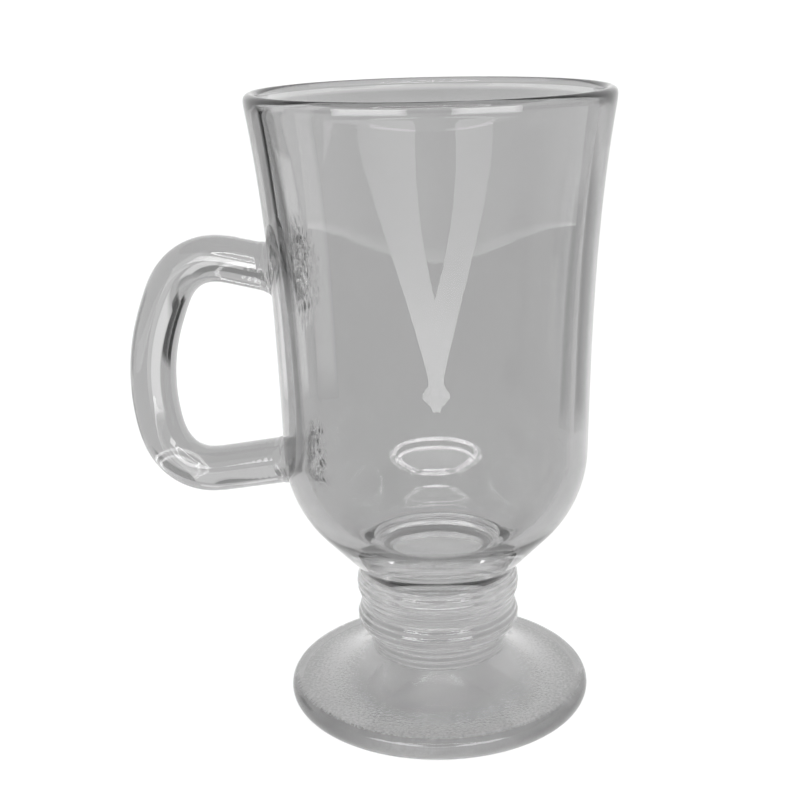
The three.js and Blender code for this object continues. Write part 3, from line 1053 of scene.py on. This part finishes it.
class MUG_OT_stage(Operator):
    """Build the stage: a round white backdrop, soft light, lamps, cards, flags and the camera"""

    bl_idname = "mug.stage"
    bl_label = "Stage"

    def execute(self, context):
        scene = context.scene
        look = scene.mug_stage
        self.backdrop(scene, look)
        self.sky(scene, look)
        self.ring_lamps(look)
        self.streaks(look)
        self.mat(look)
        self.cards()
        self.camera(scene, look)
        scene.view_settings.view_transform = "Standard"
        return {"FINISHED"}

    def backdrop(self, scene, look):
        """Floor and wall in one sweep: a line, a quarter round and a line, turned about the axis."""
        level = -look.floor_gap
        flat, bend, top = look.floor_radius, look.cove_round, look.cove_height
        outline, _ = joined(
            line((0, level), (flat, level), count=40),
            arc((flat, level + bend), bend, -math.pi / 2, 0, count=24),
            line((flat + bend, level + bend), (flat + bend, top), count=4),
        )
        turn = np.linspace(0, FULL_TURN, STAGE_COLUMNS + 1)[:-1]
        radius, height = outline[1:, 0, None], outline[1:, 1, None]
        rings = np.stack(np.broadcast_arrays(radius * np.cos(turn), radius * np.sin(turn), height), axis=-1)
        points = np.vstack(((0, 0, level), rings.reshape(-1, 3)))
        here = np.arange(turn.size)
        after = np.roll(here, -1)
        start = 1 + np.arange(len(rings) - 1)[:, None] * turn.size
        corners = start + here, start + turn.size + here, start + turn.size + after, start + after
        quads = np.stack(corners, axis=-1).reshape(-1, 4)
        fan = np.stack((np.zeros_like(here), 1 + here, 1 + after), axis=-1)
        mesh = bpy.data.meshes.new("backdrop")
        mesh.from_pydata(points.tolist(), [], fan.tolist() + quads.tolist())
        mesh.shade_smooth()
        mesh.materials.append(backdrop_material(look))
        floor = bpy.data.objects.new("backdrop", mesh)
        scene.collection.objects.link(floor)

    def sky(self, scene, look):
        """Soft light from above: brighter behind the mug than in front of it."""
        world = bpy.data.worlds.new("studio_sky")
        world.use_nodes = True
        tree = world.node_tree
        tree.nodes.clear()
        where = add_node(tree, "ShaderNodeTexCoord").outputs["Generated"]
        back = add_node(tree, "ShaderNodeSeparateXYZ", {"Vector": where}).outputs["Y"]
        level = ranged(tree, back, (-0.6, 0.6), (look.sky_front, look.sky_back))
        light = add_node(tree, "ShaderNodeBackground", {"Color": (1, 1, 1, 1), "Strength": level})
        add_node(tree, "ShaderNodeOutputWorld", {"Surface": light.outputs["Background"]})
        scene.world = world

    def ring_lamps(self, look):
        """Two rings and a soft panel seen through the glass, and a thin key ring that the glass mirrors.

        A ring's path is w cos a across and h sin a upwards, and a round tube is carried along it.
        """
        light = card_material("ring_lamp_light", look.ring_glow, look.ring_glow)
        soft = card_material("soft_panel_light", look.panel_glow, look.panel_glow)
        key = card_material("key_lamp_light", look.key_glow, look.key_glow)
        around = np.linspace(0, FULL_TURN, STAGE_COLUMNS + 1)[:, None, None]
        tube = np.linspace(0, FULL_TURN, num=13)[None, :, None]
        over = np.array((math.cos(look.ring_round), math.sin(look.ring_round), 0.0))
        for ring, glow in ((OUTER_RING, light), (INNER_RING, light), (KEY_RING, key)):
            rise = math.radians(ring.rise)
            axis = round_axis(math.cos(rise), look.ring_round, math.sin(rise))
            up = np.cross(axis, over)
            middle = axis * look.ring_distance + RING_AIM
            spoke = np.cos(around) * over + np.sin(around) * up
            path = ring.width * np.cos(around) * over + ring.height * np.sin(around) * up
            skin = ring.tube * (np.cos(tube) * spoke + np.sin(tube) * axis)
            lamp = stage_sheet(ring.name, middle + path + skin, glow)
            lamp.visible_glossy = ring is KEY_RING
            lamp.visible_transmission = ring is not KEY_RING
            lamp.visible_diffuse = ring is OUTER_RING
            if ring is INNER_RING:
                share = np.linspace(PANEL_HOLE, 1, num=9)[None, :, None]
                panel = stage_sheet("soft_panel", middle + PANEL_SETBACK * axis + path * share, soft)
                panel.visible_glossy = False

    def streaks(self, look):
        """Two bright arms on the floor: the half angle is a s + b s cubed, with a bell where they meet."""
        along = np.linspace(0, 1, num=121)[:, None]
        across = np.linspace(0, 1, num=33)[None, :]
        reach = look.streak_near + (look.streak_far - look.streak_near) * along
        run = np.clip((reach - ARM_START) / ARM_UNIT, 0, None)
        knot = ARM_HALF + KNOT_SWELL * np.exp(-((reach - ARM_START) / KNOT_LENGTH) ** 2)
        light = streak_material("streak_light", look.streak_glow, look.streak_fade)
        for arm in ARMS:
            outer = np.radians(arm.opening * run + arm.spread * run ** 3 + knot)
            inner = np.radians(arm.parting * np.clip(run - ARM_PARTING, 0, None))
            turn = look.streak_turn + arm.side * (inner + (outer - inner) * across)
            streak = stage_sheet(arm.name, round_axis(reach, turn, ARM_HEIGHT), light)
            streak.visible_transmission = False

    def mat(self, look):
        """A pale mat on the floor in front, whose near edge bends away at its ends as a parabola."""
        turn = np.radians(np.linspace(*MAT_SIDES, num=131))[None, :]
        along = np.linspace(0, 1, num=65)[:, None]
        near = look.mat_start + MAT_BEND * (turn - look.streak_turn) ** 2
        grid = round_axis(near + (MAT_END - near) * along, turn, MAT_HEIGHT)
        sheet = stage_sheet("floor_mat", grid, mat_material("floor_mat_light", look.mat_glow))
        sheet.visible_transmission = False

    def cards(self):
        """Two lit cards and a dark side flag that the glass mirrors, and flags and cards seen through it."""
        for card in LIP_CARDS:
            self.upright(card, LIP_CARD_EDGE * card.glow).visible_transmission = False
        for flag in FLAGS:
            self.upright(flag, FLAG_EDGE).visible_glossy = False
        self.upright(SIDE_FLAG, FLAG_EDGE).visible_transmission = False

    def upright(self, card, edge):
        """An upright card bent round the mug, with a brightness of its own at its edges."""
        turn = np.linspace(math.radians(card.start), math.radians(card.end), num=25)[None, :]
        height = np.linspace(card.low, card.high, num=5)[:, None]
        cloth = card_material(f"{card.name}_cloth", card.glow, edge)
        return stage_sheet(card.name, round_axis(card.reach, turn, height), cloth)

    def camera(self, scene, look):
        """The photograph's viewpoint: round the axis by a turn, then aimed by yaw, pitch and roll."""
        data = bpy.data.cameras.new("view")
        data.lens = look.camera_lens
        data.sensor_width = 36.0
        data.clip_start = 0.01
        camera = bpy.data.objects.new("view", data)
        turn = look.camera_round
        place = Matrix.Translation(round_axis(look.camera_distance, turn, look.camera_height).tolist())
        aim = Matrix.Rotation(turn + look.camera_yaw, 4, "Z")
        aim = aim @ Matrix.Rotation(math.pi / 2 - look.camera_pitch, 4, "X")
        aim = aim @ Matrix.Rotation(look.camera_roll, 4, "Z")
        camera.matrix_world = place @ aim
        scene.collection.objects.link(camera)
        scene.camera = camera


class MUG_PT_panel(Panel):
    """Lists the mug's pieces, their sizes and the glass"""

    bl_idname = "MUG_PT_panel"
    bl_label = "Footed Glass Mug"
    bl_space_type = "VIEW_3D"
    bl_region_type = "UI"
    bl_category = "Mug"

    def draw(self, context):
        for operator, settings in PIECES:
            box = self.layout.box()
            box.operator(operator.bl_idname)
            self.show(box, getattr(context.scene, settings))
        box = self.layout.box()
        box.label(text="Glass")
        self.show(box, context.scene.mug_glass)

    def show(self, box, group):
        """Puts every setting of a group into a box."""
        for name in group.__annotations__:
            box.prop(group, name)


PIECES = (
    (MUG_OT_bowl, "mug_bowl"),
    (MUG_OT_stem, "mug_stem"),
    (MUG_OT_foot, "mug_foot"),
    (MUG_OT_handle, "mug_handle"),
    (MUG_OT_stage, "mug_stage"),
)
SETTINGS = {
    "mug_bowl": BowlSizes,
    "mug_stem": StemSizes,
    "mug_foot": FootSizes,
    "mug_handle": HandleSizes,
    "mug_glass": GlassLook,
    "mug_stage": StageLook,
}
CLASSES = (*SETTINGS.values(), *(operator for operator, _ in PIECES), MUG_PT_panel)


def register():
    for item in CLASSES:
        bpy.utils.register_class(item)
    for name, group in SETTINGS.items():
        setattr(bpy.types.Scene, name, PointerProperty(type=group))


def unregister():
    for name in SETTINGS:
        delattr(bpy.types.Scene, name)
    for item in reversed(CLASSES):
        bpy.utils.unregister_class(item)


def main():
    """Registers the classes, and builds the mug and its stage."""
    register()
    bpy.ops.mug.bowl()
    bpy.ops.mug.stem()
    bpy.ops.mug.foot()
    bpy.ops.mug.handle()
    bpy.ops.mug.stage()


if __name__ == "__main__":
    main()
